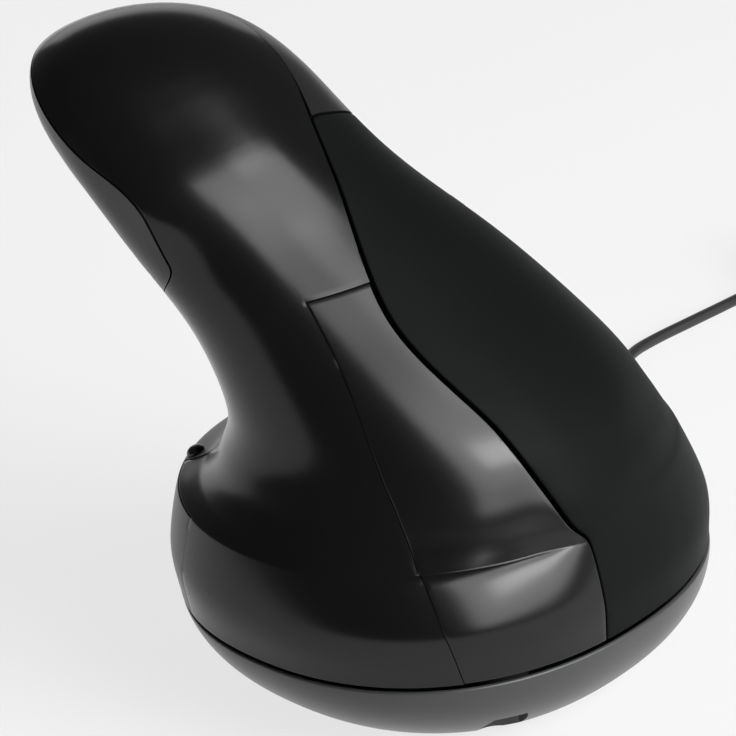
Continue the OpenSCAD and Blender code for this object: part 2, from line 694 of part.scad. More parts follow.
// Frame: plate across the base, posts for the case screws, mast and ears for the switches
module frame_plate() {
    outline = [for (j = [0:71]) let (p = oval_point(ovals[0], 5 * j)) [p[0], p[1]]];
    difference() {
        translate([0, 0, plate_z]) linear_extrude(plate_t) offset(delta = -plate_inset) polygon(outline);
        translate([harness_x - 4.5, harness_y - 3.5, 0]) cube([9, 7, plate_top + 1]);
    }
}
module mast() {
    at_wheel() {
        box([mast_x[0], mast_y[0], mast_z - mast_t], [mast_x[1], mast_y[1], mast_z]);
        for (y = barrel_y) for (q = [-1, 1])
            box([hinge_x - barrel_r, y + (q > 0 ? ear_y0 : -ear_y0 - ear_t), mast_z - 1],
                [hinge_x + barrel_r, y + (q > 0 ? ear_y0 + ear_t : -ear_y0), hinge_z + barrel_r]);
        for (q = [-1, 1])
            box([q > 0 ? guide_x : -guide_x - guide_t, -guide_y, mast_z - mast_t],
                [q > 0 ? guide_x + guide_t : -guide_x, guide_y, carriage_floor_z + 3]);
        box([mast_x[0], -guide_y - 2, mast_z - mast_t], [guide_x + guide_t, guide_y + 2, mast_z]);
    }
}
mast_foot = place(wheel_frame, [(mast_x[0] + mast_x[1]) / 2, mast_y[0] + 4, mast_z - mast_t / 2]);
module inner_frame() {
    color("#3c3f42")
    difference() {
        union() {
            frame_plate();
            for (p = post_xy) translate([p[0], p[1], plate_top - 0.5]) cylinder(d = post_d, h = post_h + 0.5);
            translate([mast_foot[0] - 8, mast_foot[1] - 4, plate_top - 0.5])
                cube([16, 8, mast_foot[2] - plate_top + 1]);
            mast();
            at_thumb()
                box([-thumb_board_x, -bracket_reach, thumb_switch_z - board_t - bracket_t],
                    [thumb_board_x, thumb_board_y, thumb_switch_z - board_t]);
        }
        translate([-base_w, -base_l, 0]) cube([2 * base_w, 2 * base_l, plate_z]);
        for (p = post_xy)
            translate([p[0], p[1], 0]) cylinder(d = screw_d + 2 * fit, h = plate_top + post_h + 1);
        at_wheel() for (y = barrel_y)
            translate([hinge_x, 0, hinge_z]) rod_y(pin_d + 2 * fit, y - barrel_l, y + barrel_l);
        at_thumb()
            box([-thumb_board_x - 0.5, -thumb_board_y - 0.5, thumb_switch_z - board_t],
                [thumb_board_x + 0.5, thumb_board_y + 0.5, 5]);
    }
}

module front_shell() {
    color("#1d1e1f") cover(front);
}

// Small light on the ledge beside the thumb
lens_place = [2.4, 211];
light_d = 3.4;
light_h = 1.2;
module indicator_lens() {
    color("#3a3f3f")
    multmatrix(skin_frame(lens_place[0], lens_place[1])) difference() {
        scale([1, 1, 2 * light_h / light_d]) sphere(d = light_d);
        translate([0, 0, -light_d / 2]) cube([2 * light_d, 2 * light_d, light_d], center = true);
    }
}

module back_cover() {
    color("#101112") cover(back);
}

module side_cover() {
    color("#121314") cover(side);
}

module grip_panel() {
    color("#232625") cover(grip);
}

// Main button: its cover, an arm to the hinge barrel and a stem to the switch
knob_top = board_z + main_switch[2] + main_knob;
edge_reach = hinge_x + wheel_d / 2 + slot_room;
switch_press = main_press * (hinge_x - main_switch_x) / edge_reach;
arm_half = [1.8, 2.5];
stem_half = [1.5, 1.5];
module main_button(id, s, y) {
    mid = (s[0] + s[1]) / 2;
    // Height of the cover's mid-wall over a place x left of the middle
    function wall_z(x) =
        let (t = front_t + gap_t(mid, front_t, x))
        height_in(wheel_frame, depth_point(level(mid, t), t, skin / 2));
    difference() {
        union() {
            cover(id);
            at_wheel() {
                box([hinge_x - arm_half[0], y - arm_half[1], hinge_z],
                    [hinge_x + arm_half[0], y + arm_half[1], wall_z(hinge_x)]);
                box([main_switch_x - stem_half[0], y - stem_half[1], knob_top + switch_press + touch_gap],
                    [main_switch_x + stem_half[0], y + stem_half[1], wall_z(main_switch_x)]);
                translate([hinge_x, 0, hinge_z]) rod_y(2 * barrel_r, y - barrel_l / 2, y + barrel_l / 2);
            }
        }
        at_wheel() translate([hinge_x, 0, hinge_z]) rod_y(pin_d + 2 * fit, y - barrel_l, y + barrel_l);
    }
}

module upper_button() {
    color("#17181a") main_button(upper, upper_s, barrel_y[0]);
}

module lower_button() {
    color("#17181a") main_button(lower, lower_s, barrel_y[1]);
}

module button_pins() {
    color("#c2c6c9")
    at_wheel() for (y = barrel_y)
        translate([hinge_x, 0, hinge_z]) rod_y(pin_d, y - ear_y0 - ear_t, y + ear_y0 + ear_t);
}

module switch_board() {
    color("#1f5a36")
    at_wheel() difference() {
        box([board_x[0], board_y[0], mast_z], [board_x[1], board_y[1], board_z]);
        for (y = barrel_y) for (q = [-1, 1])
            translate([hinge_x, y + q * (ear_y0 + ear_t / 2), mast_z])
                cube([2 * barrel_r + 2 * ear_gap, ear_t + 2 * ear_gap, 4 * board_t], center = true);
        translate([-guide_x - guide_t / 2, 0, mast_z])
            cube([guide_t + 2 * ear_gap, 2 * guide_y + 2 * ear_gap, 4 * board_t], center = true);
    }
}

module button_switches() {
    color("#b8322a")
    at_wheel() for (y = barrel_y) translate([main_switch_x, y, board_z]) {
        translate([-main_switch[0] / 2, -main_switch[1] / 2, 0]) cube(main_switch);
        translate([0, 0, main_switch[2] - 0.2]) cylinder(d = 2, h = main_knob + 0.2);
    }
}

module scroll_wheel() {
    color("#26282a")
    at_wheel() translate([0, 0, wheel_z]) difference() {
        rod_y(wheel_d - 2 * tyre_t, -wheel_w / 2, wheel_w / 2);
        rod_y(axle_d, -wheel_w, wheel_w);
    }
}

module wheel_tyre() {
    color("#3a3d3f")
    at_wheel() translate([0, 0, wheel_z]) difference() {
        rod_y(wheel_d, -wheel_w / 2 + 0.3, wheel_w / 2 - 0.3);
        rod_y(wheel_d - 2 * tyre_t, -wheel_w, wheel_w);
    }
}

module wheel_axle() {
    color("#c2c6c9")
    at_wheel() translate([0, 0, wheel_z]) rod_y(axle_d, -cheek_y - cheek_t, cheek_y + cheek_t);
}

module wheel_carriage() {
    color("#4a4d50")
    at_wheel() difference() {
        union() {
            box([-carriage_half, -cheek_y - cheek_t, carriage_floor_z],
                [carriage_half, cheek_y + cheek_t, carriage_floor_z + carriage_floor_t]);
            for (q = [-1, 1])
                box([-cheek_half, q > 0 ? cheek_y : -cheek_y - cheek_t, carriage_floor_z],
                    [cheek_half, q > 0 ? cheek_y + cheek_t : -cheek_y, cheek_top]);
        }
        translate([0, 0, wheel_z]) rod_y(axle_d + 2 * fit, -2 * wheel_w, 2 * wheel_w);
    }
}

module wheel_encoder() {
    color("#5b7f3a")
    at_wheel()
        box([-encoder_half, cheek_y + cheek_t, carriage_floor_z],
            [encoder_half, cheek_y + cheek_t + encoder_t, wheel_z + 0.3]);
}

module wheel_switch() {
    color("#17181a")
    at_wheel() translate([0, 0, board_z + press_switch_h / 2]) cube([5, 5, press_switch_h], center = true);
}

module thumb_button(id, t) {
    mid = (thumb_t[t] + thumb_t[t + 1]) / 2;
    cover(id);
    rib([thumb_mid - 0.06, thumb_mid + 0.06], [mid - 2.4, mid + 2.4], [skin / 2, thumb_stem]);
}

module thumb_forward_button() {
    color("#17181a") thumb_button(thumb_f, 0);
}

module thumb_back_button() {
    color("#17181a") thumb_button(thumb_r, 1);
}

module thumb_board() {
    color("#1f5a36")
    at_thumb()
        box([-thumb_board_x, -thumb_board_y, thumb_switch_z - board_t],
            [thumb_board_x, thumb_board_y, thumb_switch_z]);
}

module thumb_switches() {
    color("#17181a")
    at_thumb() for (x = [-1, 1])
        translate([x * thumb_step, 0, thumb_switch_z + thumb_switch[2] / 2])
            cube(thumb_switch, center = true);
}

module speed_button() {
    color("#26282a")
    translate([speed_xy[0], speed_xy[1], 0]) {
        translate([0, 0, tray_z + speed_recess]) cylinder(d = speed_d, h = skin - speed_recess + 0.3);
        translate([0, 0, tray_floor + fit]) cylinder(d = speed_flange_d, h = speed_flange_t);
    }
}

module speed_switch() {
    base = tray_floor + fit + speed_flange_t + speed_press + touch_gap;
    color("#17181a")
    translate([speed_xy[0] - 3, speed_xy[1] - 3, base]) cube([6, 6, board_base - base]);
}

module case_screws() {
    color("#9a9ea2")
    for (p = post_xy) translate([p[0], p[1], 0]) difference() {
        union() {
            translate([0, 0, seat_z - 2]) cylinder(d = well_d - 2.2, h = 2);
            translate([0, 0, seat_z - 0.5]) cylinder(d = screw_d, h = plate_top + post_h - seat_z - 1);
        }
        translate([-0.4, -2, seat_z - 3]) cube([0.8, 4, 2]);
        translate([-2, -0.4, seat_z - 3]) cube([4, 0.8, 2]);
    }
}

module board_screws() {
    color("#9a9ea2")
    for (p = standoff_xy) translate([p[0], p[1], 0]) {
        translate([0, 0, board_top]) cylinder(d = 2 * board_screw_d, h = 1.3);
        translate([0, 0, tray_floor + 0.3]) cylinder(d = board_screw_d, h = board_top - tray_floor);
    }
}

// Wires from the main board, through the frame plate and up to the switch board
harness_d = 2.2;
harness_x = 5;
harness_y = 39;
harness_out = [wheel_frame[0][2], wheel_frame[1][2], wheel_frame[2][2]];
harness_end = place(wheel_frame, [-3, board_y[0] + 2, board_z]);
harness_route = [
    [harness_x, 26, board_top], [harness_x, 27, board_top + 4], [harness_x, 33, board_top + 7],
    [harness_x, harness_y, plate_z + 1], [harness_x + 0.5, harness_y + 0.5, plate_top + 6],
    [harness_x + 1, harness_y - 1, plate_top + 15], place(wheel_frame, [-3, board_y[0] - 8, board_z + 5]),
    harness_end + 4 * harness_out, harness_end
];
harness_rings = 24;
module switch_harness() {
    color("#6b6d70")
    tube([for (k = [0:harness_rings]) through(harness_route, k / harness_rings * (len(harness_route) - 1))],
        harness_d, 8, [0, 0, 1], -harness_out);
}

module cable_gland() {
    color("#1b1c1d")
    translate([cable_x, 0, cable_z]) {
        rod_y(gland_d + 3, gland_in_y, gland_in_y + gland_collar);
        rod_y(gland_d, gland_in_y, gland_neck_y);
        translate([0, gland_neck_y, 0]) rotate([-90, 0, 0])
            cylinder(d1 = gland_d, d2 = gland_tip_d, h = gland_out_y - gland_neck_y);
    }
}

module cable_lead() {
    color("#202122") tube(lead_points, cord_d, 8, [0, 1, 0], [0, 1, 0]);
}

module cable_coil() {
    echo(coil_least_gap = coil_gap);
    color("#202122") tube(coil_points, cord_d, 6, [0, 1, 0], tail_dir);
}

module cable_tie() {
    low = [coil_out - turn_pitch * layer_turns - cord_d / 2 - tie_gap, -tie_w / 2, tie_t];
    coil_top = coil_z + (layers - 1) * layer_h + cord_d / 2;
    high = [coil_out + cord_d / 2 + tie_gap, tie_w / 2, coil_top + tie_gap];
    color("#111111")
    translate([coil_mid[0], coil_mid[1], 0]) rotate([0, 0, tie_angle]) difference() {
        box(low - [tie_t, 0, tie_t], high + [tie_t, 0, tie_t]);
        box(low - [0, 1, 0], high + [0, 1, 0]);
    }
}

module usb_plug_housing() {
    color("#1b1c1d")
    at_plug() {
        rotate([0, 90, 0]) cylinder(d1 = cord_d + 1, d2 = 6, h = 9);
        translate([8, -plug_body[1] / 2, -plug_body[2] / 2]) cube(plug_body);
    }
}

module usb_plug_shell() {
    color("#c9ccce")
    at_plug() translate([8 + plug_body[0], 0, 0]) difference() {
        translate([0, -plug_shell[1] / 2, -plug_shell[2] / 2]) cube(plug_shell);
        translate([1, plug_shell_t - plug_shell[1] / 2, plug_shell_t - plug_shell[2] / 2])
            cube([plug_shell[0], plug_shell[1] - 2 * plug_shell_t, plug_shell[2] - 2 * plug_shell_t]);
    }
}

module usb_plug_tongue() {
    color("#e8e6df")
    at_plug()
        translate([8 + plug_body[0] + 1, -plug_tongue[1] / 2, plug_shell_t - plug_shell[2] / 2])
            cube(plug_tongue);
}

base_tray();
glide_feet();
sensor_lens();
main_board();
sensor_chip();
board_components();
cable_connector();
cable_tail();
ballast_plate();
inner_frame();
front_shell();
indicator_lens();
back_cover();
side_cover();
grip_panel();
upper_button();
lower_button();
button_pins();
switch_board();
button_switches();
scroll_wheel();
wheel_tyre();
wheel_axle();
wheel_carriage();
wheel_encoder();
wheel_switch();
thumb_forward_button();
thumb_back_button();
thumb_board();
thumb_switches();
speed_button();
speed_switch();
case_screws();
board_screws();
switch_harness();
cable_gland();
cable_lead();
cable_coil();
cable_tie();
usb_plug_housing();
usb_plug_shell();
usb_plug_tongue();
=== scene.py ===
# %% [markdown]
# # An upright mouse, dressed on its measured frame
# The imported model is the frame: it gives every piece its place, in metres, and nothing here changes a size.
# The curved covers are made again on finer grids, from the formula that shaped the solids.
# Small pieces whose shape is already right are copied and get rounded edges, or only a better finish.

# %% Load the frame
import json

import bpy
import numpy as np
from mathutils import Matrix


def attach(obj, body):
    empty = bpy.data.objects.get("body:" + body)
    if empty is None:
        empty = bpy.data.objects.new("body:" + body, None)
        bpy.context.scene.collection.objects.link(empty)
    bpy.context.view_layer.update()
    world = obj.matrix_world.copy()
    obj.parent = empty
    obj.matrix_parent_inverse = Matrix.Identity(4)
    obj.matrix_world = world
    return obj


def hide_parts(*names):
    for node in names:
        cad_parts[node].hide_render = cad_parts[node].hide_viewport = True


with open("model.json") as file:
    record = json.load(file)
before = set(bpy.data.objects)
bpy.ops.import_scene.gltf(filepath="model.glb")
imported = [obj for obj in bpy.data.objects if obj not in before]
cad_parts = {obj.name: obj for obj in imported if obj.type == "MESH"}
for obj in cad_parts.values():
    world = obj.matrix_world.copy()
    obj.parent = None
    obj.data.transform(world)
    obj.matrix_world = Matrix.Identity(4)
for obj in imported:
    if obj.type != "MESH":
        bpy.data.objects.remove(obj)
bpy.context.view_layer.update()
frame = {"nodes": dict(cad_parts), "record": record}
nodes = frame["nodes"]
scene = bpy.context.scene
MM = 0.001

# %% [markdown]
# The camera stands on the user's side and to the right, looking down by 25 degrees.
# A long lens far away keeps the upright lines nearly parallel, as in a catalogue picture.
# It looks at a point inside the handle, so two angles and a distance are enough to place it.

# %% Place the camera
aim = np.array([-20, 3, 47]) * MM
yaw = np.radians(40)
lift = np.radians(25)
reach = 0.56
towards_camera = np.array([np.sin(yaw) * np.cos(lift), -np.cos(yaw) * np.cos(lift), np.sin(lift)])
lens = bpy.data.cameras.new("photo_camera")
lens.sensor_width = 36
lens.lens = 154.08
camera = bpy.data.objects.new("photo_camera", lens)
camera.location = aim + reach * towards_camera
camera.rotation_euler = (np.pi / 2 - lift, 0, yaw)
scene.collection.objects.link(camera)
scene.camera = camera
print("camera at", np.round(camera.location, 4))

# %% [markdown]
# Two helpers carry most of the shapes.
# One eases a number from 0 to 1, and the other draws a smooth curve through a list of rows.
# A row can hold any numbers: the place of a cable, or the middle and the reaches
# of an oval slice of the handle.

# %% Curves through rows of numbers


def smooth(x):
    """Eases from 0 to 1: three squares of x less two cubes, held flat outside."""
    c = np.clip(x, 0, 1)
    return c * c * (3 - 2 * c)


def through(rows, s, firm=-1, ease=1.0):
    """Cubic between each pair of rows, s counted in rows.
    The slope at a row is the mean of the steps beside it.
    An ease under 1 shortens the slope at row `firm`, so the curve bends harder there."""
    rows = np.asarray(rows, float)
    step = np.diff(rows, axis=0)
    slope = np.concatenate([step[:1], (step[:-1] + step[1:]) / 2, step[-1:]])
    if firm >= 0:
        slope[firm] *= ease
    i = np.clip(np.floor(s).astype(int), 0, len(rows) - 2)
    k = (s - i)[..., None]
    mix = smooth(k)
    bend = k * (1 - k) ** 2 * slope[i] - k * k * (1 - k) * slope[i + 1]
    return (1 - mix) * rows[i] + mix * rows[i + 1] + bend


def unit(v):
    """Each vector divided by its length."""
    return v / np.linalg.norm(v, axis=-1, keepdims=True)


# %% [markdown]
# Every finish is a Principled shader whose roughness, tone and grain come from noise in Object coordinates.
# All objects stay at the origin, so Object coordinates are metres in the frame,
# and a noise scale is cells per metre.
# Slow noise makes the faint smears of handling, and fast noise makes the fine texture of the mould.

# %% Make a finish


def new_finish(name, colour, roughness, metallic=0.0, tone=0.15, smear=45, grain=2500, depth=0.02, shine=0.5):
    """Principled shader: roughness runs between two values with slow noise,
    the colour varies by the share `tone`, and fast noise gives a bump of `depth` millimetres."""
    material = bpy.data.materials.new(name)
    material.use_nodes = True
    made = material.node_tree.nodes
    join = material.node_tree.links.new
    shader = made["Principled BSDF"]
    shader.inputs["Metallic"].default_value = metallic
    shader.inputs["Specular IOR Level"].default_value = shine
    place = made.new("ShaderNodeTexCoord").outputs["Object"]
    slow = made.new("ShaderNodeTexNoise")
    slow.inputs["Scale"].default_value = smear
    slow.inputs["Detail"].default_value = 5
    fast = made.new("ShaderNodeTexNoise")
    fast.inputs["Scale"].default_value = grain
    fast.inputs["Detail"].default_value = 2
    join(place, slow.inputs["Vector"])
    join(place, fast.inputs["Vector"])
    sheen_of = made.new("ShaderNodeMapRange")
    sheen_of.inputs["From Min"].default_value = 0.3
    sheen_of.inputs["From Max"].default_value = 0.7
    sheen_of.inputs["To Min"].default_value = roughness[0]
    sheen_of.inputs["To Max"].default_value = roughness[1]
    join(slow.outputs["Fac"], sheen_of.inputs["Value"])
    join(sheen_of.outputs["Result"], shader.inputs["Roughness"])
    shades = made.new("ShaderNodeMix")
    shades.data_type = "RGBA"
    shades.inputs["A"].default_value = (*[c * (1 - tone) for c in colour], 1)
    shades.inputs["B"].default_value = (*[min(1, c * (1 + tone)) for c in colour], 1)
    join(fast.outputs["Fac"], shades.inputs["Factor"])
    join(shades.outputs["Result"], shader.inputs["Base Color"])
    bump = made.new("ShaderNodeBump")
    bump.inputs["Strength"].default_value = 0.5
    bump.inputs["Distance"].default_value = depth * MM
    join(fast.outputs["Fac"], bump.inputs["Height"])
    join(bump.outputs["Normal"], shader.inputs["Normal"])
    return material


FINISH = {
    "satin_black": new_finish(
        "satin_black", (0.012, 0.012, 0.0126), (0.28, 0.34), grain=5000, depth=0.008, shine=0.4
    ),
    "gloss_black": new_finish(
        "gloss_black", (0.004, 0.004, 0.0044), (0.18, 0.24), grain=700, depth=0.001, shine=0.4
    ),
    "grip_rubber": new_finish(
        "grip_rubber", (0.005, 0.006, 0.0057), (0.48, 0.58), grain=6000, depth=0.02, shine=0.06
    ),
    "cable_sheath": new_finish("cable_sheath", (0.022, 0.022, 0.023), (0.40, 0.50), grain=3000, depth=0.02),
    "tie_black": new_finish("tie_black", (0.010, 0.010, 0.010), (0.45, 0.55)),
    "bright_steel": new_finish("bright_steel", (0.72, 0.73, 0.74), (0.14, 0.24), 1.0, 0.05, 120, 1500, 0.002),
    "plain_steel": new_finish("plain_steel", (0.52, 0.53, 0.55), (0.28, 0.40), 1.0, 0.08, 200, 1800, 0.004),
    "white_plastic": new_finish("white_plastic", (0.75, 0.73, 0.67), (0.35, 0.45), tone=0.04),
    "glide_black": new_finish("glide_black", (0.015, 0.015, 0.015), (0.25, 0.40), grain=1200),
    "smoked_lens": new_finish("smoked_lens", (0.012, 0.014, 0.014), (0.08, 0.14), grain=400, depth=0.001),
    "board_green": new_finish("board_green", (0.02, 0.12, 0.05), (0.25, 0.38), tone=0.3, grain=900),
    "chip_black": new_finish("chip_black", (0.014, 0.014, 0.015), (0.40, 0.55)),
    "frame_grey": new_finish("frame_grey", (0.045, 0.047, 0.05), (0.40, 0.52)),
    "switch_red": new_finish("switch_red", (0.36, 0.025, 0.018), (0.32, 0.42)),
    "encoder_green": new_finish("encoder_green", (0.09, 0.18, 0.05), (0.32, 0.42)),
    "tyre_rubber": new_finish("tyre_rubber", (0.022, 0.023, 0.024), (0.55, 0.70), grain=4500, depth=0.03),
    "wire_grey": new_finish("wire_grey", (0.12, 0.125, 0.13), (0.40, 0.50)),
    "clear_lens": new_finish("clear_lens", (0.8, 0.85, 0.87), (0.04, 0.08), tone=0.02, depth=0.0005),
}
# The case screws get a darker steel than plain steel.
screw_finish = new_finish("dark_steel", (0.05, 0.05, 0.055), (0.30, 0.42), 1.0, 0.08, 200, 1800, 0.004)
# A lighter copy of satin black for the bowl: its paler grey is painted light, standing in for the light a
# bright floor throws up onto it.
bowl_painted_light_finish = new_finish("satin_black_painted_lighter", (0.05, 0.05, 0.052), (0.28, 0.34), grain=5000, depth=0.006)
FINISH["clear_lens"].node_tree.nodes["Principled BSDF"].inputs["Transmission Weight"].default_value = 0.9
slot_of = {part["node"]: part["material_slot"] for part in frame["record"]["subparts"]}
body_of = {node: body for body, held in frame["record"]["behaviour"]["bodies"].items() for node in held}
for node, piece in nodes.items():
    piece.data.materials.clear()
    piece.data.materials.append(FINISH[slot_of[node]])
print(len(FINISH), "finishes on", len(nodes), "nodes")

# %% [markdown]
# A new piece is a list of points and faces, and then it rides on the body of the node it stands for.
# A grid of points becomes quads by counting:
# each cell's corners are its own number and its three neighbours'.

# %% Put arrays into a mesh


def add_piece(name, points, faces, node):
    """Mesh from points in millimetres and lists of corner numbers, smooth shaded,
    riding where its node rides."""
    mesh = bpy.data.meshes.new(name)
    mesh.from_pydata((np.asarray(points) * MM).tolist(), [], faces)
    mesh.polygons.foreach_set("use_smooth", np.ones(len(mesh.polygons), bool))
    mesh.materials.append(FINISH[slot_of[node]])
    piece = bpy.data.objects.new(name, mesh)
    scene.collection.objects.link(piece)
    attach(piece, body_of[node])
    return piece


def grid_faces(rows, columns, around=True):
    """Quads of a grid numbered row by row; the last column joins the first if it goes around."""
    i = np.arange(rows - 1)[:, None]
    j = np.arange(columns if around else columns - 1)[None, :]
    k = (j + 1) % columns
    quads = np.stack([i * columns + j, i * columns + k, (i + 1) * columns + k, (i + 1) * columns + j], -1)
    return quads.reshape(-1, 4).tolist()


def tube(path, radius, sides):
    """Rings of a round bar: at each point of the path, a circle across the direction of travel."""
    ahead = unit(np.gradient(path, axis=0))
    across = unit(np.cross([0, 0, 1], ahead))
    up = np.cross(ahead, across)
    a = np.linspace(0, 2 * np.pi, sides, endpoint=False)[None, :, None]
    rings = path[:, None] + radius * (np.cos(a) * across[:, None] + np.sin(a) * up[:, None])
    return rings.reshape(-1, 3)


# %% [markdown]
# The cable is one length of flexible cord, nearly a metre and a half long and 2.4 mm thick.
# It leaves a tapered sleeve at the far side of the base, sinks to the table and runs to a coil out of view.
# The coil is wound in layers, in and out, and the plug lies on the end of it, so nothing is cut off.
# One path of points goes through all of it, and a circle carried along the path makes the sheath.

# %% Lay the cable
CORD_D = 2.4
PITCH = CORD_D + 0.5
LAYERS = 4
TURNS = 14
LAYER_TURNS = TURNS / LAYERS
COIL_R = 14.2
COIL_OUT = COIL_R + LAYER_TURNS * PITCH / 2
COIL_MID = np.array([-43 + COIL_OUT, 188])
COIL_Z = 0.9 + CORD_D / 2
REST_Z = CORD_D / 2
PLUG_Z = 4
TAIL_TURNS = 0.36
EXIT = np.array([-8, 65, 10])
LEAD = [
    EXIT, [-8, 70, 9.9], [-9, 76, 9], [-12.5, 84, 6.4], [-19, 92.5, 3.6], [-27.5, 100, 1.9],
    [-36, 107, REST_Z + 0.1], [-42, 114, REST_Z], [-44.6, 121, REST_Z], [-45, 130, REST_Z],
    [-44.4, 142, REST_Z], [-43.7, 155, REST_Z], [-43.1, 168, REST_Z + 0.1], [-43, 178, COIL_Z - 0.3],
    [-43, 188 - CORD_D, COIL_Z],
]


def coil(u):
    """Point of the coil after u turns: the radius runs in and out by layers,
    and the height climbs where it turns."""
    q = np.minimum(u, TURNS)
    v = np.maximum(0, u - TURNS)
    layer = np.minimum(np.floor(q / LAYER_TURNS), LAYERS - 1)
    share = q / LAYER_TURNS - layer
    inward = np.where(layer % 2 == 0, share, 1 - share)
    radius = COIL_OUT - PITCH * LAYER_TURNS * inward + 1.25 * PITCH * smooth(v / 0.14)
    climb = sum(smooth((q - k * LAYER_TURNS) * 2 + 0.5) for k in range(1, LAYERS))
    top = COIL_Z + PITCH * climb
    z = top + (PLUG_Z - top) * smooth((v - 0.1) / (TAIL_TURNS - 0.1))
    a = np.radians(180 - 360 * u)
    return np.stack([COIL_MID[0] + radius * np.cos(a), COIL_MID[1] + radius * np.sin(a), z], -1)


lead_path = through(LEAD, np.linspace(0, len(LEAD) - 1, 90))
coil_path = coil(np.linspace(0, TURNS + TAIL_TURNS, 560))
tail_way = unit(coil_path[-1] - coil_path[-2])
tail_way[2] = 0
plug_start = coil_path[-1] + 2 * CORD_D * unit(tail_way)
tail_path = coil_path[-1] + np.array([[0.5], [1.0]]) * (plug_start - coil_path[-1])
cable_path = np.concatenate([lead_path, coil_path, tail_path])
SIDES = 14
cable_rings = tube(cable_path, CORD_D / 2, SIDES)
last_ring = len(cable_rings) - SIDES
cable_faces = grid_faces(len(cable_path), SIDES)
cable_faces.append(list(range(SIDES))[::-1])
cable_faces.append(list(range(last_ring, len(cable_rings))))
cable = add_piece("cable", cable_rings, cable_faces, "cable_lead")
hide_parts("cable_lead", "cable_coil")

# %% [markdown]
# Small hard pieces, such as the plug, the tie and the screws, have the right shape in the frame,
# but razor edges.
# A copy of each is merged into one skin and its edges are rounded by a fraction of a millimetre.
# The rounding catches a thin line of light along each edge, as a moulded or turned piece does.

# %% Round the small pieces


def rounded(node, radius, segments=3):
    """Copy of a node with its loose triangles merged, flat faces joined,
    and edges rounded by a radius in millimetres."""
    mesh = nodes[node].data.copy()
    mesh.name = node + "_rounded"
    piece = bpy.data.objects.new(node + "_rounded", mesh)
    scene.collection.objects.link(piece)
    weld = piece.modifiers.new("weld", "WELD")
    weld.merge_threshold = 0.00001
    flat = piece.modifiers.new("flat", "DECIMATE")
    flat.decimate_type = "DISSOLVE"
    flat.angle_limit = np.radians(1)
    edge = piece.modifiers.new("edge", "BEVEL")
    edge.width = radius * MM
    edge.segments = segments
    edge.limit_method = "ANGLE"
    edge.angle_limit = np.radians(35)
    shade = piece.modifiers.new("shade", "WEIGHTED_NORMAL")
    shade.keep_sharp = True
    mesh.polygons.foreach_set("use_smooth", np.ones(len(mesh.polygons), bool))
    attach(piece, body_of[node])
    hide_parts(node)
    return piece


SMALL = {
    "usb_plug_housing": 0.9, "usb_plug_shell": 0.12, "usb_plug_tongue": 0.15, "cable_tie": 0.2,
    "cable_gland": 0.3, "glide_feet": 0.25, "case_screws": 0.15, "speed_button": 0.3, "scroll_wheel": 0.3,
}
small_pieces = {node: rounded(node, radius) for node, radius in SMALL.items()}
small_pieces["case_screws"].data.materials[0] = screw_finish
print("rounded", ", ".join(small_pieces))

# %% [markdown]
# The handle is a stack of ovals that lean further over towards the head.
# Each row of the table gives the middle of an oval, how far it reaches left, right, back and front,
# how square it is, and how far its plane tilts. A smooth curve through the rows gives an oval at any height.
# The third row bends harder, which makes the firm ledge above the base, and the last rows shrink to a dome.

# %% The skin of the handle as a function of two numbers
BASE_W = 83
BASE_L = 102
RING_Z = 18
SHOULDER = RING_Z + 17.5
HW = BASE_W / 2
HL = BASE_L / 2
WAIST_Z = RING_Z + 0.46 * (SHOULDER - RING_Z)
OVALS = np.array([
    [-0.5, 2, RING_Z, HW, HW, HL, HL, 2.2, 0],
    [-1, 1.5, WAIST_Z, HW + 1, HW, HL + 0.5, HL, 2.2, 0],
    [-2.5, 0, SHOULDER, HW - 0.5, HW - 1.5, HL - 3.5, HL - 2, 2.1, 1],
    [-3, -1.5, SHOULDER + 3.5, HW - 8, HW - 2, HL - 7, HL - 2.5, 2.05, 1],
    [-2.5, -2.5, SHOULDER + 9, 31, 36.5, 40.5, 45.5, 2, 2],
    [-4, -3.5, SHOULDER + 18, 28, 31.5, 37, 40, 2, 4],
    [-14, -8, SHOULDER + 33, 22, 22.5, 33, 33.5, 2, 12],
    [-27, -15.5, SHOULDER + 48, 16.5, 17, 29.5, 27.5, 2, 24],
    [-40, -21, SHOULDER + 62.5, 14, 15.5, 27, 25.5, 2, 37],
])
TOP = len(OVALS) - 1
TREND = OVALS[TOP] - OVALS[TOP - 1]
TIP = np.array([-62.5, -29, SHOULDER + 73])
DOME_H = 20
DOME_ROWS = DOME_H / np.linalg.norm(TREND[:3])
TIP_SHIFT = TIP - OVALS[TOP, :3] - TREND[:3] * DOME_ROWS
ROUND = 0.85
CREST_SHARE = 0.045
FOLD_SHARE = 0.06
DIP_SHARE = 0.053


def row_at(s, ease=0.3):
    """Oval at height s: the curve through the rows, then rows that carry on the last trend while their reach
    shrinks with the cosine of the way to the tip."""
    s = np.asarray(s, float)
    stack = through(OVALS, np.minimum(s, TOP), 2, ease)
    a = np.pi / 2 * np.clip(s - TOP, 0, 1)
    k = np.abs(np.cos(a))[..., None] ** ROUND
    cap = OVALS[TOP] + TREND * DOME_ROWS * np.sin(a)[..., None] ** ROUND
    middle = cap[..., :3] + TIP_SHIFT * (1 - k)
    dome = np.concatenate([middle, cap[..., 3:7] * k, cap[..., 7:]], -1)
    return np.where((s > TOP)[..., None], dome, stack)


def even_row(s, ease):
    """Mean of five rows close to s, so that the bend changes gently along the handle;
    left alone at the ledge and tip."""
    plain = row_at(s, ease)
    steps = zip(range(-2, 3), (1, 4, 6, 4, 1))
    near = sum(w * row_at(np.clip(s + 0.13 * k, 0, TOP + 1), ease) for k, w in steps) / 16
    share = (smooth((s - 2.8) / 0.5) * (1 - smooth((s - 7.9) / 0.6)))[..., None]
    return plain + share * (near - plain)


def turn_from(t, t0):
    """Signed angle from t0 to t, between half a turn back and half a turn on."""
    return (t - t0 + 540) % 360 - 180


